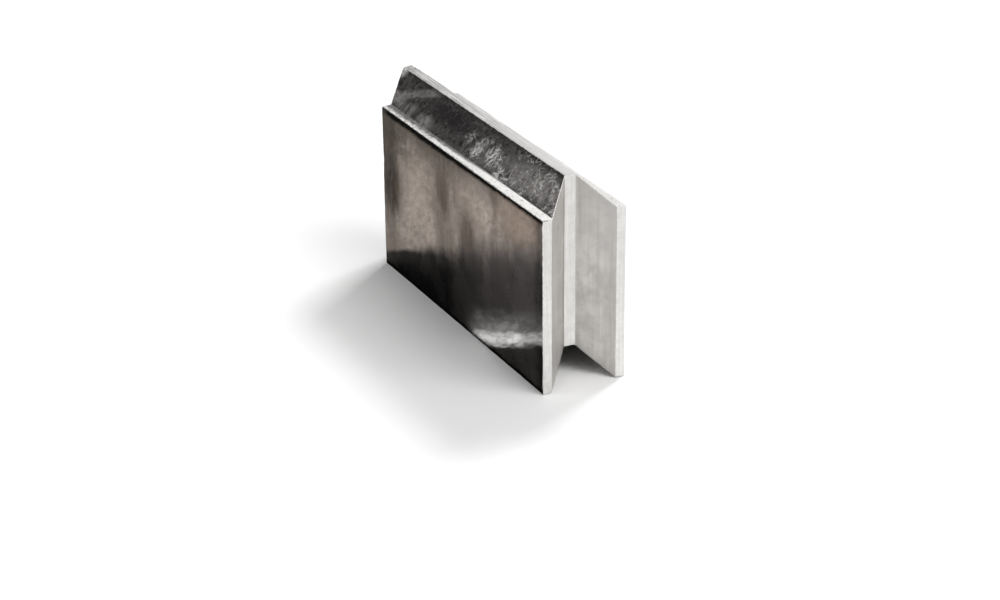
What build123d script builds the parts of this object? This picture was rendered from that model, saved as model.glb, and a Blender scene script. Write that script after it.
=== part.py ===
from build123d import *
import math
import os

# A cast lead shielding brick, in millimetres, standing on one of its long edges.
# X runs along the brick, Y through its thickness and Z up. The origin is at the middle of the
# bounding box, on the floor. A V-shaped tongue runs along the top and down the left end, and a
# matching groove runs along the bottom and up the right end, so stacked bricks leave no straight
# gap between them.

# The block between its shoulders, without the tongues.
brick_length = 200.0
brick_height = 100.0
brick_thickness = 50.0

# The tongue: a shoulder beside each flank, and a flat crest on top.
shoulder_width = 6.0
crest_width = 6.0
tongue_height = 16.0

# How far a neighbour's tongue stays from the flanks and the root of the groove.
groove_clearance = 0.4

# Rounding that the mould leaves around the two big faces and along the crests.
rim_radius = 1.0
crest_radius = 0.8

# How far a bar runs past the bar that trims it.
trim_overrun = 10.0

# Half widths of the tongue, across the thickness.
half_thickness = brick_thickness / 2
half_foot = half_thickness - shoulder_width
half_crest = crest_width / 2
flank_run = half_foot - half_crest
flank_length = math.hypot(flank_run, tongue_height)

# The groove is the tongue's section moved outwards by the clearance, square to each side.
flank_shift = groove_clearance * flank_length / tongue_height
groove_depth = tongue_height + groove_clearance
half_mouth = half_foot + flank_shift
half_root = half_mouth - groove_depth * flank_run / tongue_height

# Overall size, with one tongue standing out of the left end and one out of the top.
overall_length = brick_length + tongue_height
overall_height = brick_height + tongue_height
right_shoulder_x = overall_length / 2


def chevron_section(span):
    """Section of a bar that is span long from shoulder to shoulder, drawn from the middle of its
    groove at the near side round to the middle of its tongue at the far side, and mirrored."""
    with BuildSketch() as section:
        with BuildLine():
            Polyline(
                (0, groove_depth),
                (half_root, groove_depth),
                (half_mouth, 0),
                (half_thickness, 0),
                (half_thickness, span),
                (half_foot, span),
                (half_crest, span + tongue_height),
                (0, span + tongue_height),
                close=True,
            )
        make_face()
        mirror(about=Plane.YZ)
    return section.sketch


# The brick is what two bars with this section have in common. The long bar gives the tongue on
# top and the groove underneath, and the upright bar gives the tongue and the groove of the ends.
# So the two tongues meet in a mitre, and each groove cuts a V out of the other tongue's end.
long_bar_plane = Plane.YZ
upright_bar_plane = Plane(
    origin=(right_shoulder_x, 0, -trim_overrun),
    x_dir=(0, 1, 0),
    z_dir=(0, 0, 1),
)

with BuildPart() as lead_brick:
    with BuildSketch(long_bar_plane):
        add(chevron_section(brick_height))
    extrude(amount=overall_length / 2 + trim_overrun, both=True)
    with BuildSketch(upright_bar_plane):
        add(chevron_section(brick_length))
    extrude(amount=overall_height + 2 * trim_overrun, mode=Mode.INTERSECT)

    big_faces = lead_brick.faces().filter_by(Axis.Y)
    fillet(big_faces.edges(), rim_radius)

    top_crest = lead_brick.faces().sort_by(Axis.Z)[-1]
    end_crest = lead_brick.faces().sort_by(Axis.X)[0]
    crest_edges = top_crest.edges().filter_by(Axis.X) + end_crest.edges().filter_by(Axis.Z)
    fillet(crest_edges, crest_radius)

lead_brick.part.label = "lead_brick"

os.makedirs("parts", exist_ok=True)
export_step(lead_brick.part, "parts/lead_brick.step")
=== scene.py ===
# %% [markdown]
# # A cast lead brick
# The real thing is one block of lead, poured into an iron mould. It stands on a long edge. A
# V-shaped tongue runs along its top and down its left end, and a matching groove runs along its
# bottom and up its right end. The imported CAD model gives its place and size. This lesson gives it
# the skin of a real casting: soft edges, dents, stained faces, bright strips and a rough dark
# tongue.

import math
from types import SimpleNamespace

import bpy
import numpy as np
from mathutils import Matrix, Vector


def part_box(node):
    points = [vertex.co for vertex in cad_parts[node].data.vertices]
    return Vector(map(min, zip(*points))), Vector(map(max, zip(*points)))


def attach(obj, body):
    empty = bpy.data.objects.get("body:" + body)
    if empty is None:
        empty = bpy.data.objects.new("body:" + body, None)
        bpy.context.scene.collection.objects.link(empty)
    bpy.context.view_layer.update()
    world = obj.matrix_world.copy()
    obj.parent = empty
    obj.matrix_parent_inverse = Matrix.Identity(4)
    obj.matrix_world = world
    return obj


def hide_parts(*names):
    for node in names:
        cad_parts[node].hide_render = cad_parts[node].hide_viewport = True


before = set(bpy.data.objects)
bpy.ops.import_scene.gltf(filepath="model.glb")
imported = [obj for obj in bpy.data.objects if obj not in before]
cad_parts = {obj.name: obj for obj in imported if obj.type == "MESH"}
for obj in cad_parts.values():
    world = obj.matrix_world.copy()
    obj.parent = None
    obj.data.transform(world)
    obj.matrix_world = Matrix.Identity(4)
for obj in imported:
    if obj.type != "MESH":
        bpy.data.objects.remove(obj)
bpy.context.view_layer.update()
brick_low, brick_high = (np.array(corner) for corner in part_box("lead_brick"))
print("brick, in mm:", (1000 * brick_low).round(1), "to", (1000 * brick_high).round(1))

# %% [markdown]
# ## Sizes of the section
# Lengths are in metres. The block between its shoulders is what is left of the box once the two
# tongues are taken off. A tongue is a trapezium with a flat crest, two flanks and a shoulder beside
# each flank. The points could be copied from the CAD mesh, but sizes with names can be understood
# and changed.

# %% Sizes of the section
MM = 0.001
tongue_height = 16 * MM
shoulder_width = 6 * MM
crest_width = 6 * MM
groove_clearance = 0.4 * MM
rim_radius = 1.0 * MM
corner_softness = 0.45 * MM

block_low = brick_low + (tongue_height, 0, 0)
block_high = brick_high - (0, 0, tongue_height)
block_length, block_thickness, block_height = block_high - block_low
half_thickness = block_thickness / 2
half_foot = half_thickness - shoulder_width
half_crest = crest_width / 2
flank_slope = tongue_height / (half_foot - half_crest)
groove_shift = groove_clearance * math.hypot(1, flank_slope) / flank_slope
half_mouth = half_foot + groove_shift
half_root = half_mouth - (tongue_height + groove_clearance) / flank_slope
print("groove mouth and root, in mm:", round(2 * half_mouth / MM, 2), round(2 * half_root / MM, 2))

# %% [markdown]
# ## Lines of the grid
# The skin is worked out on a grid. Its lines are about a millimetre apart, which is enough for
# dents and waves, and they crowd together where the surface turns: around the rounded rims, and at
# the corners of the tongue. Even lines everywhere would need ten times as many points.

# %% Lines of the grid
line_step = 1.02 * MM
flank_step = 0.75 * MM
corner_step = 0.25 * MM
corner_reach = 0.5 * MM
round_turns = 3
rounding_slack = 1e-6


def spaced(start, stop, step):
    """Even values from start to stop, both included, no more than one step apart. The slack keeps a
    rounding error from adding a step."""
    steps = math.ceil((stop - start) / step - rounding_slack)
    return np.linspace(start, stop, steps + 1)


def rounded_end():
    """Distances from an edge whose points, pushed onto a quarter circle, lie at equal turns."""
    turn = np.linspace(math.pi / 4, 0, round_turns + 1)
    return rim_radius * (1 - np.tan(turn))


print("lines at a rounded end, in mm:", (rounded_end() / MM).round(3))

# %% Lines along, across and up
def side_lines(length):
    """Lines along a side of the block: crowded at both rounded ends, even between them."""
    end = rounded_end()
    middle = spaced(rim_radius, length - rim_radius, line_step)
    return np.concatenate([end[:-1], middle, length - end[-2::-1]])


def section_lines():
    """Lines across the thickness, from the front face to the back face, mirrored about the middle."""
    crest = half_crest - corner_reach, half_root + corner_reach
    foot = half_foot - corner_reach, half_mouth + corner_reach
    half = np.concatenate([
        spaced(0, crest[0], line_step),
        spaced(*crest, corner_step),
        spaced(crest[1], foot[0], flank_step),
        spaced(*foot, corner_step),
        spaced(foot[1], half_thickness - rim_radius, line_step),
        half_thickness - rounded_end(),
    ])
    half = np.unique(half.round(8))
    return np.concatenate([-half[:0:-1], half])


lines_x = side_lines(block_length)
lines_y = section_lines()
lines_z = side_lines(block_height)
print("lines along, across and up:", len(lines_x), len(lines_y), len(lines_z))

# %% [markdown]
# ## One closed skin
# The casting is one body, so its skin has no gap. Six loose sheets would be simpler, but they would
# crack apart at the borders when the skin is dented. So the block's six sides are grids that share
# their border points. A point is known by its three line numbers, and each quad lists four points
# in the order that makes it face outwards.

# %% One closed skin
sides = ["left", "right", "front", "back", "bottom", "top"]


def quads_of(numbers):
    """Quads between the neighbouring rows and columns of a grid of point numbers."""
    corners = [numbers[:-1, :-1], numbers[1:, :-1], numbers[1:, 1:], numbers[:-1, 1:]]
    return np.stack(corners, axis=-1).reshape(-1, 4)


def block_skin(count_x, count_y, count_z):
    """Points on the outside of a lattice as three line numbers each, the quads between them, and the
    side that each quad is on."""
    numbers = np.arange(count_x * count_y * count_z).reshape(count_x, count_y, count_z)
    grids = [
        numbers[0].T, numbers[-1],
        numbers[:, 0], numbers[:, -1].T,
        numbers[:, :, 0].T, numbers[:, :, -1],
    ]
    quads = [quads_of(grid) for grid in grids]
    side = np.concatenate([np.full(len(quad), index) for index, quad in enumerate(quads)])
    used, quads = np.unique(np.concatenate(quads), return_inverse=True)
    return np.stack(np.unravel_index(used, numbers.shape), axis=-1), quads.reshape(-1, 4), side


lattice, quads, quad_side = block_skin(len(lines_x), len(lines_y), len(lines_z))
flat_point = np.stack([lines_x[lattice[:, 0]], lines_y[lattice[:, 1]], lines_z[lattice[:, 2]]], axis=-1)
print("points:", len(lattice), "quads:", len(quads))

# %% [markdown]
# ## Round the rims, then push out the tongue
# A Boolean and a Bevel could cut the brick, but they leave long thin faces that can't hold a dent.
# Here two formulas turn the block into the brick. The first rounds every edge: a point is moved to
# the surface of a ball that rolls inside the block. The second shifts each slice of the thickness
# by the height of the tongue there, to the left and upwards. The tongues, the grooves, their mitres
# and the V at each tongue's end all come from that one shift.

# %% Round the rims
block_sides = np.array([block_length, half_thickness, block_height])


def rounded_block(point):
    """The nearest point of an inner block, plus a rim's radius along the line from there to the point."""
    lowest = np.array([0, -half_thickness, 0]) + rim_radius
    inner = np.clip(point, lowest, block_sides - rim_radius)
    outward = point - inner
    return inner + rim_radius * outward / np.linalg.norm(outward, axis=1, keepdims=True)


rounded_point = rounded_block(flat_point)
print("a corner is drawn in by, in mm:", ((rounded_point - flat_point)[0] / MM).round(2))

# %% Push out the tongue
def ramp(distance):
    """About zero below zero and about the distance above it, with a soft bend between: half of the
    sum of the distance and the root of its square plus the softness squared."""
    return (distance + np.sqrt(distance**2 + corner_softness**2)) / 2


def tongue_profile(across, half_bottom, half_top):
    """Height of the tongue at a distance from the middle: one ramp up the flank less one at the top."""
    away = np.abs(across)
    return flank_slope * (ramp(half_bottom - away) - ramp(half_top - away))


def shifted(point):
    """Each point moved left and up by the tongue's height, or by the groove's depth at the far sides."""
    tongue = tongue_profile(point[:, 1], half_foot, half_crest)
    groove = tongue_profile(point[:, 1], half_mouth, half_root)
    right_share = point[:, 0] / block_length
    top_share = point[:, 2] / block_height
    moved = point.copy()
    moved[:, 0] -= tongue + (groove - tongue) * right_share
    moved[:, 2] += groove + (tongue - groove) * top_share
    return moved


corner = np.array([block_low[0], 0, block_low[2]])
smooth_point = shifted(rounded_point) + corner
print("skin, in mm:", (smooth_point.min(0) / MM).round(2), "to", (smooth_point.max(0) / MM).round(2))

# %% [markdown]
# ## Where the edges are
# Wear gathers on the outer edges, and dark skin is left in the inner corners. Blender's Geometry
# node can guess at both as Pointiness, but a distance gives wear a width in millimetres. So two
# distances are measured on the grid and kept on the mesh for the materials to read.

# %% Where the edges are
far = 40.0 * MM
from_side = np.stack([
    np.minimum(flat_point[:, 0], block_length - flat_point[:, 0]),
    half_thickness - np.abs(flat_point[:, 1]),
    np.minimum(flat_point[:, 2], block_height - flat_point[:, 2]),
], axis=-1)
away = np.abs(flat_point[:, 1])
on_left, on_right = lattice[:, 0] == 0, lattice[:, 0] == len(lines_x) - 1
on_bottom, on_top = lattice[:, 2] == 0, lattice[:, 2] == len(lines_z) - 1
on_tongue = on_left | on_top
on_groove = on_right | on_bottom

edge_distance = np.sort(from_side, axis=1)[:, 1]
edge_distance = np.where(on_tongue, np.minimum(edge_distance, np.abs(away - half_crest)), edge_distance)
edge_distance = np.where(on_groove, np.minimum(edge_distance, np.abs(away - half_mouth)), edge_distance)
corner_distance = np.where(on_tongue, np.abs(away - half_foot), far)
from_root = np.minimum(corner_distance, np.abs(away - half_root))
corner_distance = np.where(on_groove, from_root, corner_distance)
print("points on an outer edge:", int((edge_distance < corner_step).sum()))

# %% [markdown]
# ## Waves, dents and nicks
# Lead is soft, so nothing on the brick stays quite flat. Long waves come from cooling, short ones
# from the mould, round dents from knocks, and small nicks from edges that were dropped or struck.
# They could be sculpted by hand, but a sum of simple shapes comes out the same each time. It is
# pushed inwards along the skin, so the brick never leaves its box.

# %% Normals and waves
def skin_normals(point):
    """Unit normals: the cross product of each quad's diagonals, added up at its four corners."""
    face = np.cross(point[quads[:, 2]] - point[quads[:, 0]], point[quads[:, 3]] - point[quads[:, 1]])
    totals = [np.bincount(quads.ravel(), np.repeat(part, 4)) for part in face.T]
    total = np.stack(totals, axis=-1)
    return total / np.linalg.norm(total, axis=1, keepdims=True)


def rolling_noise(point, wavelength, seed, waves=48):
    """Smooth noise mostly between -1 and 1: cosine waves in random directions, near one wavelength."""
    rng = np.random.default_rng(seed)
    direction = rng.normal(size=(waves, 3))
    direction /= np.linalg.norm(direction, axis=1, keepdims=True)
    per_metre = 2 * math.pi / (wavelength * rng.uniform(0.7, 1.5, waves))
    phase = rng.uniform(0, 2 * math.pi, waves)
    return np.cos(point @ (direction * per_metre[:, None]).T + phase).sum(axis=1) / math.sqrt(2 * waves)


# %% Dents and nicks
def bells(point, centres, radii, depths):
    """Sum of round dents: each is its depth times a bell curve of the distance to its centre."""
    total = np.zeros(len(point))
    for centre, radius, depth in zip(centres, radii, depths):
        total += depth * np.exp(-((point - centre) ** 2).sum(axis=1) / radius**2)
    return total


def knocks(point, where, count, radius_range, depth_range, seed):
    """Random dents centred on points of the skin that are picked from a mask."""
    rng = np.random.default_rng(seed)
    centres = point[rng.choice(np.flatnonzero(where), count, replace=False)]
    return bells(point, centres, rng.uniform(*radius_range, count), rng.uniform(*depth_range, count))


# %% Sizes of the waves, dents and blows
# Blows on the tongue's upper corner: the place of each, its radius and its depth, in mm.
struck_corner = np.array([
    (-108, -2, 116, 2.0, 0.5),
    (-103, -2.5, 116, 2.0, 1.2),
    (-103, 2.5, 116, 2.2, 1.0),
    (-96, -3, 116, 2.2, 0.7),
    (-90, 1, 116, 2.6, 0.5),
    (-107, 3, 110, 2.4, 0.6),
    (-81, -3, 116, 1.8, 0.35),
])
everywhere = np.ones(len(smooth_point), bool)
big_face = ~(on_tongue | on_groove)
flank_skin = on_tongue & (away > half_crest) & (away < half_foot)
on_edge = edge_distance < corner_step
# Each wave is half its height and its length in mm, the seed of its draws and the points it moves.
waves = [
    (0.10, 70, 11, everywhere),
    (0.03, 14, 12, everywhere),
    (0.035, 5, 13, ~big_face),
    (0.08, 3.2, 14, flank_skin),
]
dent_radii, dent_depths = (2 * MM, 7 * MM), (0.05 * MM, 0.2 * MM)
nick_radii, nick_depths = (0.8 * MM, 3.0 * MM), (0.03 * MM, 0.17 * MM)
print("points on the big faces and on the flanks:", int(big_face.sum()), int(flank_skin.sum()))

# %% Push the skin inwards
sunk = np.zeros(len(smooth_point))
for half_height, length, seed, where in waves:
    sunk += where * half_height * MM * (1 + rolling_noise(smooth_point, length * MM, seed))
sunk += knocks(smooth_point, big_face, 26, dent_radii, dent_depths, seed=21)
sunk += knocks(smooth_point, on_edge, 110, nick_radii, nick_depths, seed=22)
sunk += bells(smooth_point, struck_corner[:, :3] * MM, struck_corner[:, 3] * MM, struck_corner[:, 4] * MM)
skin_point = smooth_point - sunk[:, None] * skin_normals(smooth_point)
skin_point = np.clip(skin_point, brick_low, brick_high)
print("deepest dent, in mm:", round(float(sunk.max()) / MM, 2))

# %% [markdown]
# ## The brick's mesh
# The arrays go into the mesh in a few calls. The brick is one piece, so it stays one object: it is
# not cut up where the finish changes, but each quad gets the number of one of four materials. The
# two distances and the lay of the finish are kept as attributes. The lay says how far along and how
# far across its side a point is, so scratches can turn a corner with the section.

# %% Finish and lay of each part of the skin
finishes = ["moulded face", "scraped strip", "cast skin", "groove wall"]
quad_away = away[quads].mean(axis=1)
tongue_side = np.isin(quad_side, [sides.index("left"), sides.index("top")])
groove_side = np.isin(quad_side, [sides.index("right"), sides.index("bottom")])
tongue_flank = tongue_side & (quad_away > half_crest) & (quad_away < half_foot)
groove_flank = groove_side & (quad_away > half_root) & (quad_away < half_mouth)
finish_number = np.select([tongue_flank, groove_flank, tongue_side | groove_side], [2, 3, 1], default=0)

upright = (on_left | on_right) & ~(on_top | on_bottom)
along = np.where(upright, skin_point[:, 2], skin_point[:, 0])
side_offset = 0.3 * on_left + 0.6 * on_bottom + 0.9 * on_right
lay = np.stack([along, flat_point[:, 1], side_offset], axis=-1) / MM
print("quads of each finish:", dict(zip(finishes, np.bincount(finish_number).tolist())))

# %% The brick's mesh
def add_attribute(mesh, name, kind, values):
    """Stores one value or vector for each point of the mesh."""
    field = "vector" if kind == "FLOAT_VECTOR" else "value"
    flat_values = np.ascontiguousarray(values, np.float32).ravel()
    mesh.attributes.new(name, kind, "POINT").data.foreach_set(field, flat_values)


mesh = bpy.data.meshes.new("brick_skin")
mesh.from_pydata(skin_point.tolist(), [], quads.tolist())
mesh.polygons.foreach_set("material_index", finish_number.astype(np.int32))
mesh.polygons.foreach_set("use_smooth", np.ones(len(quads), bool))
add_attribute(mesh, "edge_mm", "FLOAT", edge_distance / MM)
add_attribute(mesh, "corner_mm", "FLOAT", corner_distance / MM)
add_attribute(mesh, "lay_mm", "FLOAT_VECTOR", lay)
mesh.update()
brick = bpy.data.objects.new("brick_skin", mesh)
bpy.context.collection.objects.link(brick)
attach(brick, "root")
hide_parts("lead_brick")
print("triangles:", 2 * len(quads))

# %% [markdown]
# ## Short words for shader nodes
# A material is a graph of small nodes. It could be drawn by hand in the Shader Editor, but these
# finishes take some hundreds of nodes, and text is easier to read and to change. Each helper adds a
# node, sets its inputs and hands back its output, so that a graph reads like a formula.

# %% Short words for shader nodes
def feed(tree, socket, value):
    """Links an output to an input, or sets the input to a plain value."""
    if isinstance(value, bpy.types.NodeSocket):
        tree.links.new(value, socket)
    else:
        socket.default_value = value


def add_node(tree, kind, inputs=None, output=0, **settings):
    """Adds a node, sets or links its inputs, and returns one of its outputs."""
    node = tree.nodes.new(kind)
    for name, value in settings.items():
        setattr(node, name, value)
    for name, value in (inputs or {}).items():
        feed(tree, node.inputs[name], value)
    return node.outputs[output]


# %% Short words for sums
def calc(tree, operation, *values):
    """One step of arithmetic on numbers or outputs."""
    return add_node(tree, "ShaderNodeMath", dict(enumerate(values)), operation=operation)


def chain(tree, operation, values):
    """The first value, joined to each of the others in turn by one operation."""
    total = values[0]
    for value in values[1:]:
        total = calc(tree, operation, total, value)
    return total


def plus(tree, *values):
    """The sum of several values."""
    return chain(tree, "ADD", values)


def times(tree, *values):
    """The product of several masks and numbers."""
    return chain(tree, "MULTIPLY", values)


def most(tree, *values):
    """The greatest of several values."""
    return chain(tree, "MAXIMUM", values)


# %% Short words for masks
def minus(tree, first, second):
    """The first value less the second."""
    return calc(tree, "SUBTRACT", first, second)


def opposite(tree, mask):
    """One less the mask, so it is 0 where the mask is 1."""
    return minus(tree, 1.0, mask)


def above(tree, value, limit):
    """1 where the value is greater than the limit, else 0."""
    return calc(tree, "GREATER_THAN", value, limit)


def below(tree, value, limit):
    """1 where the value is less than the limit, else 0."""
    return calc(tree, "LESS_THAN", value, limit)


def swing(tree, mask, width):
    """A mask turned into a shift that goes from minus half the width to plus half the width."""
    return times(tree, minus(tree, mask, 0.5), width)


def remap(tree, value, low, high, to_low=0.0, to_high=1.0):
    """Smoothly maps low..high of a value to to_low..to_high, and holds it beyond."""
    inputs = {"Value": value, "From Min": low, "From Max": high, "To Min": to_low, "To Max": to_high}
    return add_node(tree, "ShaderNodeMapRange", inputs, interpolation_type="SMOOTHSTEP")


# %% Short words for colours
def blend(tree, mask, first, second):
    """A colour that goes from the first to the second as the mask goes from 0 to 1."""
    return add_node(tree, "ShaderNodeMix", {0: mask, 6: first, 7: second}, output=2, data_type="RGBA")


def lay_on(tree, colour, coat, *masks, share=1.0):
    """A colour under a coat of another one, which is as opaque as the share times all the masks."""
    return blend(tree, times(tree, *masks, share), colour, coat)


# %% Short words for vectors
def vector_calc(tree, operation, *values):
    """One step of arithmetic on vectors that gives a vector."""
    return add_node(tree, "ShaderNodeVectorMath", dict(enumerate(values)), operation=operation)


def vector_measure(tree, operation, *values):
    """One step of arithmetic on vectors that gives a number, such as a length."""
    inputs = dict(enumerate(values))
    return add_node(tree, "ShaderNodeVectorMath", inputs, output="Value", operation=operation)


def stretch(tree, vector, scale):
    """A vector times three factors."""
    return vector_calc(tree, "MULTIPLY", vector, scale)


def axes_of(tree, vector):
    """The outputs X, Y and Z of a vector."""
    node = tree.nodes.new("ShaderNodeSeparateXYZ")
    feed(tree, node.inputs[0], vector)
    return node.outputs


# %% Soft noise, and the end of a graph
def noise_of(tree, vector, scale, output=0, **details):
    """Soft noise, read at a vector times a scale. Output 0 is a number and output 1 a colour."""
    inputs = {name.capitalize(): value for name, value in details.items()}
    return add_node(tree, "ShaderNodeTexNoise", {"Vector": vector, "Scale": scale, **inputs}, output)


def show(tree, kind, shader):
    """Ends a graph: links a shader to what the material or the world shows."""
    feed(tree, tree.nodes.new(kind).inputs["Surface"], shader)


# %% Short words for node groups
def new_group(name, inputs):
    """An empty node group with the inputs named, numbers or vectors, and one output called Mask."""
    group = bpy.data.node_groups.new(name, "ShaderNodeTree")
    for label, value in inputs.items():
        kind = "NodeSocketVector" if isinstance(value, tuple) else "NodeSocketFloat"
        group.interface.new_socket(label, in_out="INPUT", socket_type=kind).default_value = value
    group.interface.new_socket("Mask", in_out="OUTPUT", socket_type="NodeSocketFloat")
    entry = group.nodes.new("NodeGroupInput")
    exit_node = group.nodes.new("NodeGroupOutput")
    return group, entry.outputs, exit_node.inputs["Mask"]


def use_group(tree, group, **inputs):
    """Places a group and returns its Mask."""
    node = tree.nodes.new("ShaderNodeGroup")
    node.node_tree = group
    for name, value in inputs.items():
        feed(tree, node.inputs[name.capitalize()], value)
    return node.outputs["Mask"]


# %% [markdown]
# ## Effects that the finishes share
# Every finish is dulled, stained and worn in the same few ways, so each way is one node group that
# is placed with its own values. Clouds are patches of thicker and thinner oxide. Streaks are clouds
# drawn out along one axis. A stain is a soft patch at one place, with a ragged border. Wear is the
# bright metal along an edge, ragged because knocks are. Specks are pits. All sizes are millimetres.

# %% Clouds and streaks
origin = (0.0, 0.0, 0.0)
cloud_inputs = {"Vector": origin, "Size": 10.0, "Low": 0.4, "High": 0.6}
cloud_group, given, result = new_group("oxide clouds", cloud_inputs)
tree = cloud_group
per_size = calc(tree, "DIVIDE", 1.0, given["Size"])
noise = noise_of(tree, given["Vector"], per_size, detail=5.0, roughness=0.6, distortion=0.3)
feed(tree, result, remap(tree, noise, given["Low"], given["High"]))

streak_inputs = {"Vector": origin, "Spacing": (1.0, 1.0, 1.0), "Low": 0.4, "High": 0.6}
streak_group, given, result = new_group("drawn streaks", streak_inputs)
tree = streak_group
drawn = vector_calc(tree, "DIVIDE", given["Vector"], given["Spacing"])
noise = noise_of(tree, drawn, 1.0, detail=4.0, roughness=0.62, distortion=0.15)
feed(tree, result, remap(tree, noise, given["Low"], given["High"]))
print("clouds and streaks:", len(cloud_group.nodes), len(streak_group.nodes), "nodes")

# %% Stain
stain_inputs = {
    "Vector": origin, "Centre": origin, "Reach": (10.0, 10.0, 10.0), "Ragged": 4.0,
    "Drawn": (6.0, 6.0, 20.0), "Core": 0.3,
}
stain_group, given, result = new_group("stained patch", stain_inputs)
tree = stain_group
drawn = vector_calc(tree, "DIVIDE", given["Vector"], given["Drawn"])
noise = noise_of(tree, drawn, 1.0, output=1, detail=4.0, roughness=0.6)
middled = vector_calc(tree, "SUBTRACT", noise, (0.5, 0.5, 0.5))
pushed = add_node(tree, "ShaderNodeVectorMath", {0: middled, "Scale": given["Ragged"]}, operation="SCALE")
moved = vector_calc(tree, "ADD", given["Vector"], pushed)
from_centre = vector_calc(tree, "SUBTRACT", moved, given["Centre"])
share = vector_measure(tree, "LENGTH", vector_calc(tree, "DIVIDE", from_centre, given["Reach"]))
feed(tree, result, remap(tree, share, 1.0, given["Core"]))
print("stain:", len(stain_group.nodes), "nodes")

# %% Wear
wear_inputs = {"Vector": origin, "Distance": 1.0, "Width": 1.0, "Raggedness": 0.7}
wear_group, given, result = new_group("edge wear", wear_inputs)
tree = wear_group
noise = noise_of(tree, given["Vector"], 0.45, detail=3.0, roughness=0.6)
uneven = remap(tree, noise, 0.35, 0.65, -1.0, 1.0)
reach = times(tree, given["Width"], calc(tree, "MULTIPLY_ADD", uneven, given["Raggedness"], 1.0))
feed(tree, result, remap(tree, calc(tree, "DIVIDE", given["Distance"], reach), 1.0, 0.3))
print("wear:", len(wear_group.nodes), "nodes")

# %% Specks
speck_inputs = {"Vector": origin, "Size": 2.0, "Reach": 0.2, "Share": 0.5}
speck_group, given, result = new_group("pits and specks", speck_inputs)
tree = speck_group
spot = tree.nodes.new("ShaderNodeTexVoronoi")
feed(tree, spot.inputs["Vector"], given["Vector"])
feed(tree, spot.inputs["Scale"], calc(tree, "DIVIDE", 1.0, given["Size"]))
cell_draw = add_node(tree, "ShaderNodeSeparateColor", {0: spot.outputs["Color"]})
chosen = below(tree, cell_draw, given["Share"])
feed(tree, result, times(tree, remap(tree, spot.outputs["Distance"], given["Reach"], 0.0), chosen))
print("specks:", len(speck_group.nodes), "nodes")

# %% [markdown]
# ## Frost
# Lead sets in crystals, and on the tongue they show as pale frost. Real strokes could be modelled
# as thin ridges, but there are thousands, so they are drawn by the material. The surface is divided
# into cells, and in each cell a noise is read in polar form, quickly round the centre and slowly
# away from it, which gives a fan of curved strokes. The worm tracks are where a noise crosses its
# middle value, so they are thin curled lines.

# %% Frost
frost_inputs = {
    "Vector": origin, "Cell": 12.0, "Length": 9.0, "Strokes": 2.4, "Low": 0.5, "High": 0.62,
}
frost_group, given, result = new_group("crystal frost", frost_inputs)
tree = frost_group
wander_reach = (7.0, 7.0, 0.0)
wander = noise_of(tree, given["Vector"], 0.13, output=1, detail=2.0)
bent = vector_calc(tree, "ADD", stretch(tree, wander, wander_reach), given["Vector"])
cells = tree.nodes.new("ShaderNodeTexVoronoi")
feed(tree, cells.inputs["Vector"], bent)
feed(tree, cells.inputs["Scale"], calc(tree, "DIVIDE", 1.0, given["Cell"]))
from_centre = vector_calc(tree, "SUBTRACT", bent, cells.outputs["Position"])
cell_draw = tree.nodes.new("ShaderNodeSeparateColor")
feed(tree, cell_draw.inputs[0], cells.outputs["Color"])
cell_turn = times(tree, cell_draw.outputs[0], 2 * math.pi)
turn_inputs = {"Vector": from_centre, "Angle": cell_turn}
turned = axes_of(tree, add_node(tree, "ShaderNodeVectorRotate", turn_inputs, rotation_type="Z_AXIS"))
print("cells of the frost:", len(frost_group.nodes), "nodes")

# %% Strokes of the frost
angle = calc(tree, "ARCTAN2", turned["Y"], turned["X"])
radius = vector_measure(tree, "LENGTH", from_centre)
polar = add_node(tree, "ShaderNodeCombineXYZ", {
    0: times(tree, angle, given["Strokes"]),
    1: calc(tree, "DIVIDE", radius, given["Length"]),
    2: times(tree, cell_draw.outputs[1], 40.0),
})
strokes = remap(tree, noise_of(tree, polar, 1.0, detail=1.5), given["Low"], given["High"])
fan = remap(tree, calc(tree, "ABSOLUTE", angle), 2.7, 1.7)
inside = remap(tree, calc(tree, "DIVIDE", radius, given["Cell"]), 0.75, 0.35)
feed(tree, result, times(tree, strokes, fan, inside))
print("cells and strokes:", len(frost_group.nodes), "nodes")

# %% Worm tracks
worm_inputs = {"Vector": origin, "Size": 4.0, "Thickness": 0.03}
worm_group, given, result = new_group("worm tracks", worm_inputs)
tree = worm_group
per_size = calc(tree, "DIVIDE", 1.0, given["Size"])
noise = noise_of(tree, given["Vector"], per_size, detail=1.0, distortion=0.8)
from_middle = calc(tree, "ABSOLUTE", minus(tree, noise, 0.5))
feed(tree, result, remap(tree, from_middle, given["Thickness"], 0.0))
print("groups:", [group.name for group in bpy.data.node_groups])

# %% [markdown]
# ## What every finish starts from
# A finish reads the brick's own coordinates in millimetres, the lay of its side and the two
# distances. It ends in one metal shader, whose bump turns a height in millimetres into a normal.
# Oxide dulls the gloss that bare metal has at a low angle, so the tint of that gloss is grey.
# A line on a big face is given by its slope and by its height where x is 0.

# %% What every finish starts from
gloss_tint = (0.35, 0.35, 0.35, 1)


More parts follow.
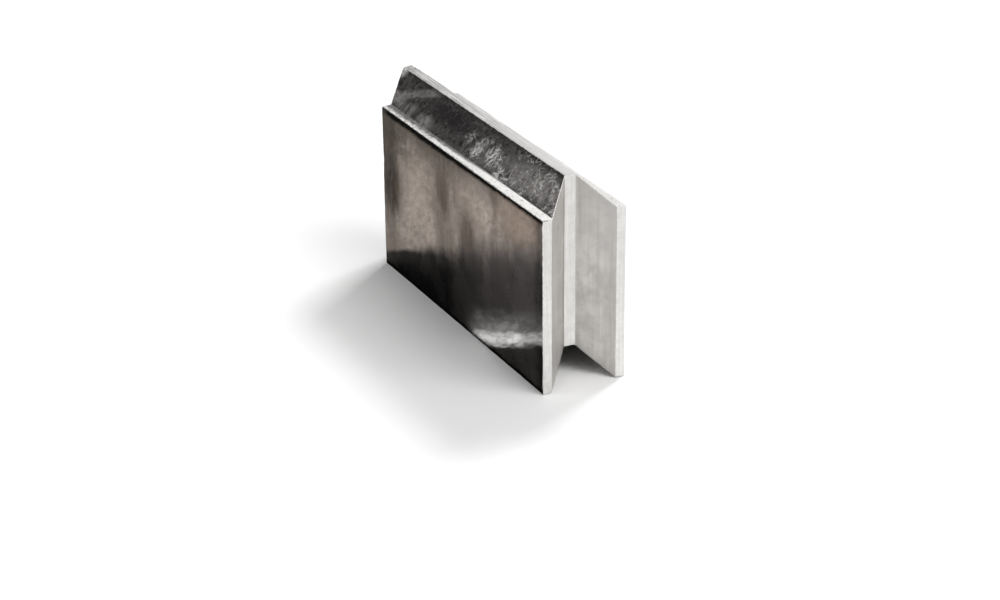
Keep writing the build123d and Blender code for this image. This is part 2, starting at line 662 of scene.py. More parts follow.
def start_finish(name):
    """A material with its shader, and what the finish reads: the place and its x, y and z, the upward
    share of the normal, the lay, and the distances to an outer edge and to an inner corner."""
    material = bpy.data.materials.new(name)
    material.use_nodes = True
    tree = material.node_tree
    shader = tree.nodes["Principled BSDF"]
    shader.inputs["Specular Tint"].default_value = gloss_tint
    place = stretch(tree, add_node(tree, "ShaderNodeTexCoord", output="Object"), (1 / MM,) * 3)
    axes = axes_of(tree, place)
    at = SimpleNamespace(
        place=place, x=axes["X"], y=axes["Y"], z=axes["Z"],
        up=axes_of(tree, add_node(tree, "ShaderNodeTexCoord", output="Normal"))["Z"],
        lay=add_node(tree, "ShaderNodeAttribute", output="Vector", attribute_name="lay_mm"),
        edge=add_node(tree, "ShaderNodeAttribute", output="Fac", attribute_name="edge_mm"),
        corner=add_node(tree, "ShaderNodeAttribute", output="Fac", attribute_name="corner_mm"),
    )
    brick.data.materials.append(material)
    return tree, shader, at


print("tint of the gloss at a low angle:", gloss_tint[:3])

# %% Slanting lines
def height_over(tree, at, slope, level):
    """Height over a slanting line: z less the sum of the slope times x and the level."""
    return minus(tree, at.z, calc(tree, "MULTIPLY_ADD", at.x, slope, level))


def lean(slope):
    """The angle between a slanting line and the floor, in degrees."""
    return round(math.degrees(math.atan(slope)), 1)


def with_height(tree, at, height):
    """The place with another height for its z, so that a pattern on it follows a slanting line."""
    return add_node(tree, "ShaderNodeCombineXYZ", {0: at.x, 1: at.y, 2: height})


# %% Stains, and the end of a finish
def patch(tree, at, centre, reach, **shape):
    """The mask of one stain, with its centre and its reach in millimetres."""
    return use_group(tree, stain_group, vector=at.place, centre=centre, reach=reach, **shape)


def stained(tree, at, colour, stains, **shape):
    """A colour with soft patches over it. Each stain is its centre, its reach, its coat and its share."""
    for centre, reach, coat, share in stains:
        colour = lay_on(tree, colour, coat, patch(tree, at, centre, reach, **shape), share=share)
    return colour


def finish_with(tree, shader, colour, roughness, metallic, height, relief):
    """Links colour, roughness, metallic and a bump of the given relief in millimetres."""
    normal = add_node(tree, "ShaderNodeBump", {"Height": height, "Strength": 1.0, "Distance": relief * MM})
    values = {"Base Color": colour, "Roughness": roughness, "Metallic": metallic, "Normal": normal}
    for label, value in values.items():
        feed(tree, shader.inputs[label], value)
    print(brick.data.materials[-1].name, "has", len(tree.nodes), "nodes")


# %% [markdown]
# ## The moulded faces
# The two big faces lay against smooth iron, so they are the most even part of the brick: a warm
# brownish grey with upright streaks, slanting mottles, and darker patches where damp stood. They
# could be painted by hand, but then they would blur close up. Layers of noise stay sharp, and
# stains listed in millimetres put the larger marks where the real ones are.

# %% Colours of the big faces
# Green is oxide and also painted shade; black is oxide, painted shade and the painted dark reflection; slate
# is oxide and the painted dark reflection. The near-white coat is a painted bright reflection, and the
# darkest coat is a dirty border and painted shade.
taupe_oxide = (0.275, 0.238, 0.213, 1)
pale_oxide = (0.490, 0.425, 0.375, 1)
brown_oxide = (0.110, 0.088, 0.074, 1)
green_oxide_and_shade = (0.062, 0.060, 0.050, 1)
tan_oxide = (0.460, 0.365, 0.300, 1)
black_oxide_and_shade = (0.019, 0.019, 0.019, 1)
slate_oxide_and_reflection = (0.118, 0.109, 0.105, 1)
reflection_white = (0.95, 0.94, 0.92, 1)
bare_lead = (0.88, 0.87, 0.85, 1)
grime_and_shade_black = (0.008, 0.007, 0.006, 1)
print("coats of the big faces, from", grime_and_shade_black[:3], "to", reflection_white[:3])

# %% Stains of the big faces
# Each stain is its centre and its reach in mm, its coat and how opaque the coat is.
front_stains = [
    ((-46, -25, 52), (28, 20, 50), pale_oxide, 0.95),
    ((24, -25, 82), (24, 20, 30), pale_oxide, 0.75),
    ((80, -25, 92), (38, 20, 20), tan_oxide, 0.75),
    ((-86, -25, 80), (26, 20, 32), green_oxide_and_shade, 0.7),
    ((-80, -25, 87), (18, 20, 13), green_oxide_and_shade, 0.6),
    # This narrow green stain along the left border is partly painted shade, where the face turns towards its
    # rim.
    ((-94, -25, 62), (12, 20, 52), green_oxide_and_shade, 0.9),
    ((-79, -25, 54), (20, 20, 30), green_oxide_and_shade, 0.95),
    ((-81, -25, 58), (14, 20, 28), black_oxide_and_shade, 0.7),
    ((-11, -25, 74), (12, 20, 24), brown_oxide, 0.95),
    ((20, -25, 56), (14, 20, 32), brown_oxide, 0.9),
    ((52, -25, 88), (7, 20, 16), brown_oxide, 0.4),
    ((-60, -25, 30), (20, 20, 24), pale_oxide, 1.0),
    ((-30, -25, 44), (17, 20, 20), pale_oxide, 1.0),
    ((43, -25, 80), (14, 20, 20), pale_oxide, 0.85),
]
back_stains = [
    ((-58, 25, 60), (28, 20, 44), pale_oxide, 0.8),
    ((50, 25, 62), (30, 20, 34), pale_oxide, 0.7),
    ((-4, 25, 64), (12, 20, 40), brown_oxide, 0.8),
    ((92, 25, 44), (16, 20, 46), green_oxide_and_shade, 0.85),
    ((-88, 25, 34), (16, 20, 36), green_oxide_and_shade, 0.8),
    ((24, 25, 12), (80, 20, 20), green_oxide_and_shade, 0.85),
]
print("stains:", len(front_stains), "on the front face and", len(back_stains), "on the back face")

# %% Streaks, mottles and stains
mottle_slant = 0.4

tree, shader, at = start_finish("moulded face")
on_front = below(tree, at.y, 0.0)
on_back = opposite(tree, on_front)
streaks = use_group(tree, streak_group, vector=at.place, spacing=(9.0, 9.0, 50.0), low=0.34, high=0.66)
fine_streaks = use_group(tree, streak_group, vector=at.place, spacing=(1.3, 1.3, 14.0), low=0.3, high=0.7)
fine_mottle = use_group(tree, streak_group, vector=at.place, spacing=(2.4, 2.4, 4.0), low=0.34, high=0.66)
clouds = use_group(tree, cloud_group, vector=at.place, size=24.0, low=0.38, high=0.64)
slanting = with_height(tree, at, height_over(tree, at, mottle_slant, 0.0))
broad = stretch(tree, slanting, (0.65, 1.0, 1.4))
mottle = use_group(tree, cloud_group, vector=broad, size=5.0, low=0.36, high=0.66)
colour = lay_on(tree, taupe_oxide, pale_oxide, streaks, share=0.5)
colour = lay_on(tree, colour, brown_oxide, clouds, share=0.4)
stain_shape = {"ragged": 11.0, "drawn": (8.0, 8.0, 17.0), "core": 0.2}
colour = stained(tree, at, colour, front_stains + back_stains, **stain_shape)
colour = lay_on(tree, colour, brown_oxide, mottle, share=0.34)
colour = lay_on(tree, colour, pale_oxide, fine_streaks, share=0.16)
colour = lay_on(tree, colour, brown_oxide, fine_mottle, share=0.16)
print("slant of the mottles, in degrees:", lean(mottle_slant))

# %% Scuffs near the foot and a mottled corner
# Both are on the left half of the front face: grey scuffs low down, greenish mottles at the top.
scuff_place = stretch(tree, slanting, (0.7, 1.0, 1.4))
scuffs = use_group(tree, cloud_group, vector=scuff_place, size=8.0, low=0.44, high=0.58)
scuffed = patch(tree, at, centre=(-58, -25, 30), reach=(44, 20, 18), ragged=8.0)
colour = lay_on(tree, colour, slate_oxide_and_reflection, scuffed, scuffs, share=0.28)
corner_place = stretch(tree, slanting, (0.8, 1.0, 1.5))
corner_mottle = use_group(tree, cloud_group, vector=corner_place, size=7.0, low=0.42, high=0.58)
in_corner = patch(tree, at, centre=(-66, -25, 84), reach=(36, 20, 15), ragged=8.0)
colour = lay_on(tree, colour, green_oxide_and_shade, in_corner, corner_mottle, share=0.42)
print("nodes so far:", len(tree.nodes))

# %% [markdown]
# ### Painted dark reflection and painted bright reflection
# The nearly black lower part of the front face, below a slanting line, is a painted reflection of
# dark things beside the brick, over the scene's own reflection of the floor's shadow. The line is
# sharp at the left and soft at the right, where the black below it turns to slate. Near the foot a
# bright streak, brightest along its lower side and fading upwards, is a painted reflection of a lit
# surface in front of the brick. A stain has no straight side, so both are made from the height over
# a slanting line.

# %% Painted dark reflection
dark_reflection_slope, dark_reflection_level = 0.379, 43.3

# Painted dark reflection: below the slanting line the front face is coated black, turning to slate towards
# the right and near the foot.
uneven = minus(tree, plus(tree, times(tree, streaks, 0.35), times(tree, clouds, 0.65)), 0.5)
over_dark_reflection = height_over(tree, at, dark_reflection_slope, dark_reflection_level)
over_dark_reflection = plus(tree, over_dark_reflection, times(tree, uneven, remap(tree, at.x, -60.0, 30.0, 1.5, 9.0)))
softness = remap(tree, at.x, -70.0, 30.0, 1.8, 10.0)
dark_reflection_mask = times(tree, remap(tree, calc(tree, "DIVIDE", over_dark_reflection, softness), 1.0, -1.0), on_front)
slate_share = plus(
    tree, remap(tree, at.x, -30.0, 66.0, 0.04, 0.7), times(tree, uneven, 0.14),
    remap(tree, over_dark_reflection, -20.0, 0.0, 0.0, 0.3),
)
slate_share = times(tree, slate_share, remap(tree, over_dark_reflection, -72.0, -40.0, 0.45, 1.0))
near_foot = patch(tree, at, centre=(96, -25, 6), reach=(22, 20, 9), ragged=5.0)
slate_share = plus(tree, slate_share, times(tree, near_foot, 0.22))
slate = blend(tree, slate_share, black_oxide_and_shade, slate_oxide_and_reflection)
colour = lay_on(tree, colour, slate, dark_reflection_mask)
# Painted shade: the front face darkens to black along its right border.
streaky = remap(tree, streaks, 0.0, 1.0, 0.75, 0.45)
painted_edge_shade = times(tree, remap(tree, at.x, 96.0, 105.0), streaky, on_front)
colour = lay_on(tree, colour, black_oxide_and_shade, painted_edge_shade)
print("slant of the painted dark reflection, in degrees:", lean(dark_reflection_slope))

# %% Painted bright reflection
reflection_slope, reflection_level = 0.42, -13.0
glow_share = 0.34

# Painted bright reflection: a streak near the foot with a soft fringe above it, where the metal is also less
# metallic and rougher.
over_reflection_line = height_over(tree, at, reflection_slope, reflection_level)
over_reflection_line = minus(tree, over_reflection_line, remap(tree, at.x, 60.0, 24.0, 0.0, 2.0))
along_reflection_line = with_height(tree, at, over_reflection_line)
reflection_wobble = use_group(tree, streak_group, vector=along_reflection_line, spacing=(13.0, 13.0, 2.8), low=0.32, high=0.68)
reflection_patches = use_group(tree, streak_group, vector=along_reflection_line, spacing=(11.0, 11.0, 3.6), low=0.40, high=0.60)
over_reflection_line = plus(tree, over_reflection_line, swing(tree, reflection_wobble, 2.4))
reflection_core = remap(tree, over_reflection_line, 8.5, 1.0)
reflection_glow = times(tree, remap(tree, over_reflection_line, 22.0, 2.0), glow_share)
bright_reflection_mask = times(tree, most(tree, reflection_core, reflection_glow), remap(tree, over_reflection_line, -5.0, 0.5), on_front)
bright_reflection_mask = times(tree, bright_reflection_mask, remap(tree, at.x, 10.0, 36.0), remap(tree, reflection_patches, 0.0, 1.0, 1.0, 0.68))
bright_reflection_mask = times(tree, bright_reflection_mask, remap(tree, at.x, 74.0, 98.0, 1.0, 0.45))
colour = lay_on(tree, colour, reflection_white, bright_reflection_mask)
print("slant of the painted bright reflection, in degrees:", lean(reflection_slope))

# %% [markdown]
# ### Painted shade and shadow, a dirty border, and wear
# A black line under the front face's top rim, thinner towards the right, is painted shade for the
# dark that the rounded rim mirrors, and a black line along its foot is a painted contact shadow. The
# face darkens a little towards the top rim, also painted shade. The back face has a damp foot and a
# dirty border. On the clean stretches of the rims the oxide is worn through to bright lead.

# %% Painted shade and dirty border of the big faces
rim_height = block_height / MM

under_rim = minus(tree, rim_height, at.z)
rim_shift = remap(tree, at.x, -60.0, 80.0, -0.3, 0.8)
under_rim = plus(tree, under_rim, swing(tree, mottle, 0.8), rim_shift)
from_rim = plus(tree, at.edge, swing(tree, mottle, 0.9))
# Painted shade: a black line under the front face's top rim and a soft darkening below it. Painted contact
# shadow: a black line along the foot.
painted_rim_shade = times(tree, remap(tree, under_rim, 4.6, 1.9), remap(tree, from_rim, 0.0, 0.6), on_front)
painted_rim_shade = times(tree, painted_rim_shade, remap(tree, at.x, -91.0, -80.0, 0.35, 1.0))
painted_contact_shadow = times(tree, remap(tree, plus(tree, at.z, mottle), 4.6, 2.0), on_front)
shade = times(tree, remap(tree, under_rim, 19.0, 2.0), remap(tree, at.x, 90.0, -20.0, 0.25, 0.6), on_front)
colour = lay_on(tree, colour, green_oxide_and_shade, shade)
uneven_foot = plus(tree, at.z, times(tree, plus(tree, streaks, clouds), 16.0))
colour = lay_on(tree, colour, black_oxide_and_shade, remap(tree, uneven_foot, 44.0, 12.0), on_back, share=0.75)
border = remap(tree, plus(tree, at.edge, mottle), 3.0, 1.2)
back_dirt = times(tree, border, remap(tree, at.edge, 0.1, 0.5), on_back, 0.85)
# The darkest coat goes on as painted shade on the front face and as a dirty border on the back.
dirt_and_painted_shade = most(tree, painted_rim_shade, painted_contact_shadow, back_dirt)
colour = lay_on(tree, colour, grime_and_shade_black, dirt_and_painted_shade)
print("nodes so far:", len(tree.nodes))

# %% Wear, gloss and relief of the big faces
wear = use_group(tree, wear_group, vector=at.place, distance=at.edge, width=0.45, raggedness=0.5)
colour = lay_on(tree, colour, bare_lead, wear, opposite(tree, dirt_and_painted_shade))
roughness = plus(tree, remap(tree, clouds, 0.0, 1.0, 0.24, 0.34), times(tree, bright_reflection_mask, 0.2))
metallic = remap(tree, bright_reflection_mask, 0.0, 0.5, 0.95, 0.15)
streaks_off_reflection = times(tree, fine_streaks, remap(tree, bright_reflection_mask, 0.0, 0.3, 0.5, 0.0))
height = plus(tree, streaks_off_reflection, times(tree, clouds, 1.5))
finish_with(tree, shader, colour, roughness, metallic, height, relief=0.02)

# %% [markdown]
# ## The scraped strips
# The shoulders, the crests and the roots of the grooves are scraped bare. They are bright, with fine
# lengthwise scratches and a pebbled surface. Those that face upwards, the beds, have dark pits, and
# the front bed's edge is nibbled. Dark skin creeps onto them from the inner corners, widest on the
# front bed, and the crest and the tongued end are duller. Scratches along one axis would run
# crosswise on half of the strips, so they follow the lay that was stored on the mesh.

# %% Bright metal and its scratches
dull_lead = (0.25, 0.24, 0.235, 1)
scratched_lead = (0.60, 0.59, 0.575, 1)
pit_black = (0.09, 0.085, 0.08, 1)
skin_grey = (0.150, 0.142, 0.136, 1)
skin_black = (0.030, 0.028, 0.028, 1)
crest_level = rim_height + 10.0

tree, shader, at = start_finish("scraped strip")
scratches = use_group(tree, streak_group, vector=at.lay, spacing=(30.0, 1.1, 1.0), low=0.41, high=0.59)
clouds = use_group(tree, cloud_group, vector=at.place, size=7.0, low=0.38, high=0.62)
grains = use_group(tree, cloud_group, vector=at.place, size=1.6, low=0.36, high=0.60)
on_bed = above(tree, at.up, 0.5)
on_crest = times(tree, on_bed, above(tree, at.z, crest_level))
dull_share = most(tree, on_crest, remap(tree, at.y, 8.0, 12.0, 0.35, 0.9))
dull_end = times(tree, remap(tree, at.x, 80.0, -40.0), dull_share)
scratched = times(tree, scratches, remap(tree, dull_end, 0.0, 1.0, 0.3, 0.9))
colour = lay_on(tree, bare_lead, scratched_lead, scratched)
colour = lay_on(tree, colour, dull_lead, dull_end, scratches, share=0.85)
colour = lay_on(tree, colour, scratched_lead, clouds, share=0.3)
colour = lay_on(tree, colour, scratched_lead, grains, share=0.22)
on_end = times(tree, opposite(tree, on_bed), above(tree, at.x, 80.0))
colour = lay_on(tree, colour, scratched_lead, on_end, remap(tree, at.z, 0.0, 90.0, 0.0, 0.3))
colour = lay_on(tree, colour, scratched_lead, on_bed, remap(tree, at.y, 8.0, 12.0), share=0.5)
colour = lay_on(tree, colour, dull_lead, on_crest, share=0.4)
print("a bed is the crest from this height up, in mm:", round(crest_level, 1))

# %% Blows, pits and creeping skin
struck = patch(tree, at, centre=(-103, -1, 115), reach=(12, 8, 8), ragged=4.0)
colour = lay_on(tree, colour, dull_lead, struck, above(tree, grains, 0.5), share=0.8)
pits = use_group(tree, speck_group, vector=at.place, size=2.6, reach=0.34, share=0.45)
colour = lay_on(tree, colour, pit_black, pits, clouds, on_bed, share=0.85)
nibbled = use_group(tree, wear_group, vector=at.place, distance=at.edge, width=0.9, raggedness=1.0)
colour = lay_on(tree, colour, pit_black, nibbled, on_bed, below(tree, at.y, -20.0), share=0.7)
on_front_bed = times(tree, on_bed, below(tree, at.y, -8.0))
wider_creep = times(tree, on_front_bed, remap(tree, at.x, 90.0, -90.0, 0.0, 3.2))
creep_width = plus(tree, remap(tree, at.x, 60.0, -90.0, 0.3, 2.5), wider_creep)
creep = use_group(tree, wear_group, vector=at.place, distance=at.corner, width=creep_width, raggedness=0.3)
crept = blend(tree, grains, skin_black, skin_grey)
colour = lay_on(tree, colour, crept, creep, remap(tree, at.x, 80.0, 0.0, 0.0, 0.95))
height = minus(tree, plus(tree, scratches, clouds), times(tree, pits, on_bed, 2.0))
finish_with(tree, shader, colour, roughness=0.40, metallic=0.2, height=height, relief=0.05)

# %% [markdown]
# ## The cast skin of the tongue
# The tongue's flanks keep the skin that formed when the lead set: nearly black oxide, rough and
# wrinkled. On the front flank a slanting band of pale haze crosses the tongued end, short runs of
# haze rise from the bed, and the stretch beyond them is the blackest. The rear flank and the end
# tongue are dark all over, with a few scrapes along them. Haze is thin oxide, so it is only a coat
# of colour, and the wrinkles are a bump.

# %% Haze on the skin
skin_haze = (0.420, 0.400, 0.385, 1)
frost_white = (0.80, 0.79, 0.77, 1)

haze_stains = [
    ((-90, -15, 104), (13, 5, 5), skin_haze, 0.8),
    ((-52, -17, 102), (15, 5, 5), skin_haze, 0.5),
    ((76, -12, 107), (56, 14, 12), skin_haze, 0.75),
    ((22, -14, 105), (28, 8, 8), skin_haze, 0.75),
]
dark_stains = [((-30, -9, 110), (36, 9, 9), skin_black, 0.95)]
band_slope, band_level = 0.305, 132.2

tree, shader, at = start_finish("cast skin")
shader.inputs["Specular IOR Level"].default_value = 0.25
grain = use_group(tree, cloud_group, vector=at.place, size=3.0, low=0.38, high=0.62)
clouds = use_group(tree, cloud_group, vector=at.place, size=20.0, low=0.46, high=0.68)
colour = blend(tree, grain, skin_black, skin_grey)
colour = stained(tree, at, colour, haze_stains, ragged=8.0, drawn=(4.0, 4.0, 4.0), core=0.2)
over_band = plus(tree, height_over(tree, at, band_slope, band_level), grain)
haze_band = times(tree, remap(tree, over_band, -1.8, -0.6), remap(tree, over_band, 3.8, 1.2))
haze_band = times(tree, haze_band, remap(tree, at.x, -42.0, -54.0), below(tree, at.y, 0.0))
colour = lay_on(tree, colour, skin_haze, haze_band, share=0.6)
runs = use_group(tree, streak_group, vector=at.place, spacing=(4.0, 30.0, 30.0), low=0.42, high=0.58)
low_haze = patch(tree, at, centre=(-66, -17, 102), reach=(36, 7, 7), ragged=6.0)
colour = lay_on(tree, colour, skin_haze, low_haze, runs, share=0.62)
print("slant of the haze band, in degrees:", lean(band_slope))

# %% The blackest skin
colour = lay_on(tree, colour, skin_black, grain, share=0.5)
colour = stained(tree, at, colour, dark_stains, ragged=8.0, drawn=(3.0, 3.0, 8.0), core=0.3)
under_crest = times(tree, remap(tree, at.edge, 2.6, 1.0), above(tree, at.z, crest_level))
colour = lay_on(tree, colour, skin_black, under_crest, share=0.7)
on_rear = above(tree, at.y, 0.0)
on_end_tongue = below(tree, plus(tree, at.x, at.z), 8.0)
far_flanks = most(tree, on_rear, on_end_tongue)
colour = lay_on(tree, colour, skin_black, far_flanks, share=0.65)
scrapes = use_group(tree, streak_group, vector=at.lay, spacing=(16.0, 0.9, 1.0), low=0.60, high=0.72)
colour = lay_on(tree, colour, skin_haze, scrapes, clouds, far_flanks, share=0.45)
print("nodes so far:", len(tree.nodes))

# %% [markdown]
# ### Frost on the skin
# Pale frost shows where crystals broke through the skin: in fans on one stretch of the front flank,
# and as worm tracks beyond it. Two sizes of fan are laid over each other and broken up like lace,
# because an even pattern would look printed.

# %% Frost and worm tracks on the skin
frost_places = [((16, -13, 106), (34, 10, 10)), ((46, -16, 103), (22, 6, 6))]

frosty = times(tree, clouds, most(tree, on_rear, below(tree, at.x, -91.0)), 0.9)
for centre, reach in frost_places:
    frosty = most(tree, frosty, patch(tree, at, centre, reach, ragged=6.0, core=0.4))
fan_shape = {"cell": 15.0, "length": 12.0, "strokes": 5.0, "low": 0.45, "high": 0.55}
small_fan_shape = {"cell": 11.0, "length": 9.0, "strokes": 3.8, "low": 0.47, "high": 0.57}
fans = use_group(tree, frost_group, vector=at.lay, **fan_shape)
small_fans = use_group(tree, frost_group, vector=at.place, **small_fan_shape)
lace = use_group(tree, cloud_group, vector=at.place, size=1.7, low=0.38, high=0.52)
frost = times(tree, most(tree, fans, small_fans), frosty, lace)
tracks = use_group(tree, worm_group, vector=at.place, size=3.6, thickness=0.07)
track_patches = use_group(tree, cloud_group, vector=at.place, size=7.0, low=0.42, high=0.6)
worms = times(tree, tracks, track_patches, remap(tree, at.x, 36.0, 62.0, 0.10, 0.75))
specks = use_group(tree, speck_group, vector=at.place, size=2.4, reach=0.45, share=0.5)
colour = lay_on(tree, colour, frost_white, worms)
colour = lay_on(tree, colour, skin_black, specks, share=0.75)
colour = lay_on(tree, colour, skin_black, frosty, share=0.5)
colour = lay_on(tree, colour, frost_white, frost, share=0.9)
print("frost at", len(frost_places), "places of the front flank, nodes so far:", len(tree.nodes))

# %% Struck corner, wear and relief of the skin
struck = patch(tree, at, centre=(-105, -4, 113), reach=(8, 5, 6), ragged=5.0)
colour = lay_on(tree, colour, bare_lead, struck, lace, share=0.6)
wear = use_group(tree, wear_group, vector=at.place, distance=at.edge, width=0.35, raggedness=0.4)
colour = lay_on(tree, colour, bare_lead, wear)
height = plus(tree, grain, times(tree, frost, 1.5), worms)
finish_with(tree, shader, colour, roughness=0.45, metallic=0.5, height=height, relief=0.1)

# %% [markdown]
# ## The walls of the grooves
# A groove is cast round an iron bar, which leaves its walls smooth and satin: a pale grey with faint
# lines along them, some of them warm, and soft clouds. Up the end the rear wall is painted darker near
# the top and the front wall painted paler, as painted shade and light; the walls darken towards their
# outer edge, also painted shade; and under the brick the walls are painted nearly black as shade.
# The lines could be a bump alone, but at this distance they are seen mostly as colour.

# %% The walls of the grooves
satin_lead = (0.62, 0.60, 0.575, 1)
clouded_lead = (0.46, 0.445, 0.43, 1)
lined_lead = (0.74, 0.72, 0.695, 1)
warm_lead = (0.40, 0.36, 0.315, 1)

tree, shader, at = start_finish("groove wall")
on_rear = above(tree, at.y, 0.0)
lines = use_group(tree, streak_group, vector=at.lay, spacing=(90.0, 1.6, 1.0), low=0.3, high=0.7)
clouds = use_group(tree, cloud_group, vector=at.place, size=11.0, low=0.36, high=0.64)
colour = lay_on(tree, satin_lead, lined_lead, lines, share=0.6)
colour = lay_on(tree, colour, clouded_lead, clouds, share=0.75)
# Painted shade: the walls under the brick are coated nearly black.
painted_shade_underneath = times(tree, remap(tree, at.z, 16.0, 13.0), remap(tree, at.x, 92.0, 88.0))
colour = lay_on(tree, colour, skin_black, painted_shade_underneath, share=0.9)
# Painted shade towards the outer edges and near the top of the rear wall, and painted light on the front
# wall up the end.
colour = lay_on(tree, colour, clouded_lead, remap(tree, at.edge, 7.0, 1.0), share=0.5)
colour = lay_on(tree, colour, clouded_lead, on_rear, remap(tree, at.z, 55.0, 95.0, 0.0, 0.45))
colour = lay_on(tree, colour, lined_lead, opposite(tree, on_rear), remap(tree, at.x, 92.0, 94.0), share=0.45)
warm_lines = use_group(tree, streak_group, vector=at.lay, spacing=(70.0, 2.6, 1.0), low=0.48, high=0.66)
colour = lay_on(tree, colour, warm_lead, warm_lines, share=0.35)
wear = use_group(tree, wear_group, vector=at.place, distance=at.edge, width=0.35, raggedness=0.3)
colour = lay_on(tree, colour, bare_lead, wear)
height = plus(tree, lines, times(tree, clouds, 0.5))
finish_with(tree, shader, colour, roughness=0.42, metallic=0.6, height=height, relief=0.03)

# %% [markdown]
# ## Camera
# The camera looks down at the brick from the right of its front. Its place was found from the
# corners of the brick in the photo. It could be aimed with a Track To constraint, but the roll would
# be lost, so its axes are worked out: one towards the camera, one level, one upwards, then the roll.
# The place is given by a bearing around the brick, an elevation, a distance and the aim.

# %% Place and axes of the camera
camera_bearing = math.radians(63.16)
camera_elevation = math.radians(24.42)
camera_roll = math.radians(-0.57)
camera_distance = 1.358
aim_right, aim_up = 0.5 * MM, 9.5 * MM
aim_point = np.array([8 * MM, 0, 0])
focal_pixels = 2386
image_width = 1000
sensor_width = 36.0

level_right = np.array([math.cos(camera_bearing), math.sin(camera_bearing), 0])
towards_camera = np.array([
    math.sin(camera_bearing) * math.cos(camera_elevation),
    -math.cos(camera_bearing) * math.cos(camera_elevation),
    math.sin(camera_elevation),
])
level_up = np.cross(towards_camera, level_right)
view_right = math.cos(camera_roll) * level_right + math.sin(camera_roll) * level_up
view_up = np.cross(towards_camera, view_right)
camera_place = aim_point + camera_distance * towards_camera + aim_right * view_right + aim_up * view_up
print("camera at, in mm:", (camera_place / MM).round(0))

# %% Camera
def pose_matrix(right, up, backwards, place):
    """The matrix of a camera or lamp that looks against its third axis, from its axes and its place."""
    pose = np.eye(4)
    pose[:3] = np.stack([right, up, backwards, place], axis=-1)
    return Matrix(pose)


camera_data = bpy.data.cameras.new("camera")
camera_data.sensor_width = sensor_width
camera_data.lens = focal_pixels * sensor_width / image_width
camera = bpy.data.objects.new("camera", camera_data)
camera.matrix_world = pose_matrix(view_right, view_up, towards_camera, camera_place)
bpy.context.collection.objects.link(camera)
bpy.context.scene.camera = camera
print("lens, in mm:", round(camera_data.lens, 1))

# %% [markdown]
# ## Floor
# The floor is plain and pale, and it keeps the brick's shadow. More lamps would bleach it, but they
# would bleach the brick too. So the floor has a little light of its own further out, seen only by
# the camera and in reflections, and that brings it up to white.

# %% Floor
floor_half_width = 8.0
near_glow, far_glow = 0.15, 0.80
glow_from, glow_full, far_full = 0.25, 0.8, 3.0
floor_white = (0.90, 0.90, 0.90, 1)
white = (1, 1, 1, 1)

floor_mesh = bpy.data.meshes.new("floor")
corner_signs = np.array([[-1, -1], [1, -1], [1, 1], [-1, 1]])
floor_corners = np.column_stack([corner_signs * floor_half_width, np.zeros(4)])
floor_mesh.from_pydata(floor_corners.tolist(), [], [[0, 1, 2, 3]])
floor = bpy.data.objects.new("floor", floor_mesh)
bpy.context.collection.objects.link(floor)
print("floor, in m:", 2 * floor_half_width, "wide")

# %% Colour and glow of the floor
floor_material = bpy.data.materials.new("pale floor")
floor_material.use_nodes = True
tree = floor_material.node_tree
tree.nodes.clear()


def seen_rays(tree):
    """1 for rays from the camera and for rays that left a shiny or clear surface, else 0."""
    rays = tree.nodes.new("ShaderNodeLightPath").outputs
    return most(tree, rays["Is Camera Ray"], rays["Is Glossy Ray"], rays["Is Transmission Ray"])


floor_place = add_node(tree, "ShaderNodeTexCoord", output="Object")
from_brick = vector_measure(tree, "LENGTH", floor_place)
near_share = remap(tree, from_brick, glow_from, glow_full, 0.0, near_glow)
far_share = remap(tree, from_brick, glow_full, far_full, 0.0, far_glow - near_glow)
glow_strength = times(tree, seen_rays(tree), plus(tree, near_share, far_share))
matte = add_node(tree, "ShaderNodeBsdfDiffuse", {"Color": floor_white})
glow = add_node(tree, "ShaderNodeEmission", {"Color": white, "Strength": glow_strength})
show(tree, "ShaderNodeOutputMaterial", add_node(tree, "ShaderNodeAddShader", {0: matte, 1: glow}))
floor.data.materials.append(floor_material)
print("glow of the floor near the brick and far out:", near_glow, far_glow)

# %% [markdown]
# ## Studio
# Metal shows what is around it, so the studio is part of the finish. Straight behind the brick the
# room is white, and to the camera's left it falls off to dark, as in a studio with one lit wall.
# For the soft light that falls on the brick and the floor, the room is brighter overhead than low
# down, as under a large cloth. A picture of a real room would do as well, but this reads no file.

# %% Studio
white_wall, dark_wall = 1.0, 0.05
low_ambient, high_ambient = 0.03, 0.34
dark_bearing = math.radians(222)

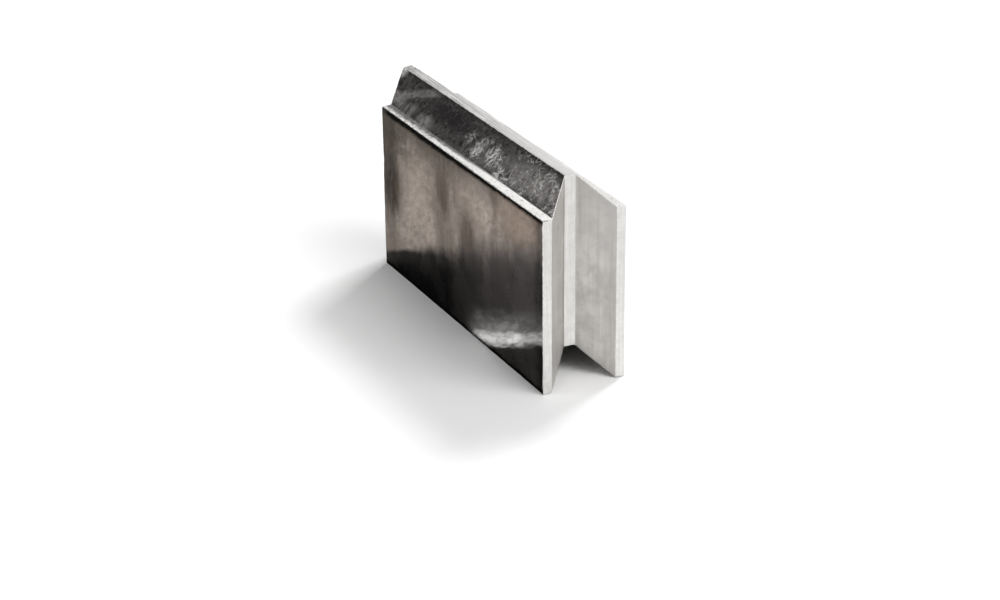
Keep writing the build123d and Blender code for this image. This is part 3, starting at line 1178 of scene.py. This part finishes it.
world = bpy.data.worlds.new("studio")
bpy.context.scene.world = world
world.use_nodes = True
tree = world.node_tree
tree.nodes.clear()
dark_direction = (math.cos(dark_bearing), math.sin(dark_bearing), 0.0)
direction = add_node(tree, "ShaderNodeTexCoord", output="Generated")
towards_dark = vector_measure(tree, "DOT_PRODUCT", direction, dark_direction)
overhead = vector_measure(tree, "DOT_PRODUCT", direction, (0.0, 0.0, 1.0))
wall = remap(tree, towards_dark, 0.35, 0.80, white_wall, dark_wall)
ambient = remap(tree, overhead, 0.0, 0.8, low_ambient, high_ambient)
strength = add_node(tree, "ShaderNodeMix", {0: seen_rays(tree), 2: ambient, 3: wall}, data_type="FLOAT")
background = add_node(tree, "ShaderNodeBackground", {"Color": white, "Strength": strength})
show(tree, "ShaderNodeOutputWorld", background)
print("the studio is dark towards:", [round(share, 2) for share in dark_direction])

# %% [markdown]
# ### Lamps
# Three square lamps stand around the brick. The key light comes from behind and above, so the
# shadow falls towards the camera. The fill lights the grooved end and also shows in the metal. The
# front lamp lifts the big face a little. Bare points of light would give hard shadows, so each lamp
# is a broad square.

# %% Lamps
def soft_box(name, bearing, elevation, distance, width, watts, mirrored):
    """A square lamp that faces the brick, with its bearing in degrees from +X towards +Y. Shiny metal
    shows only a mirrored one."""
    bearing, elevation = math.radians(bearing), math.radians(elevation)
    outwards = np.array([
        math.cos(bearing) * math.cos(elevation),
        math.sin(bearing) * math.cos(elevation),
        math.sin(elevation),
    ])
    sideways = np.array([-math.sin(bearing), math.cos(bearing), 0])
    lamp_data = bpy.data.lights.new(name, "AREA")
    lamp_data.size = width
    lamp_data.energy = watts
    lamp = bpy.data.objects.new(name, lamp_data)
    lamp.matrix_world = pose_matrix(sideways, np.cross(outwards, sideways), outwards, outwards * distance)
    lamp.visible_glossy = mirrored
    bpy.context.collection.objects.link(lamp)
    print(name, "lamp, in m:", (outwards * distance).round(2))


soft_box("key", bearing=121, elevation=48, distance=3.0, width=0.8, watts=62, mirrored=False)
soft_box("fill", bearing=23, elevation=52, distance=1.6, width=1.0, watts=15, mirrored=True)
soft_box("front", bearing=-104, elevation=18, distance=1.8, width=1.0, watts=12, mirrored=False)

# %% [markdown]
# ## Finish
# The colours are shown as they are, without a film look.

# %% Finish
bpy.context.scene.view_settings.view_transform = "Standard"
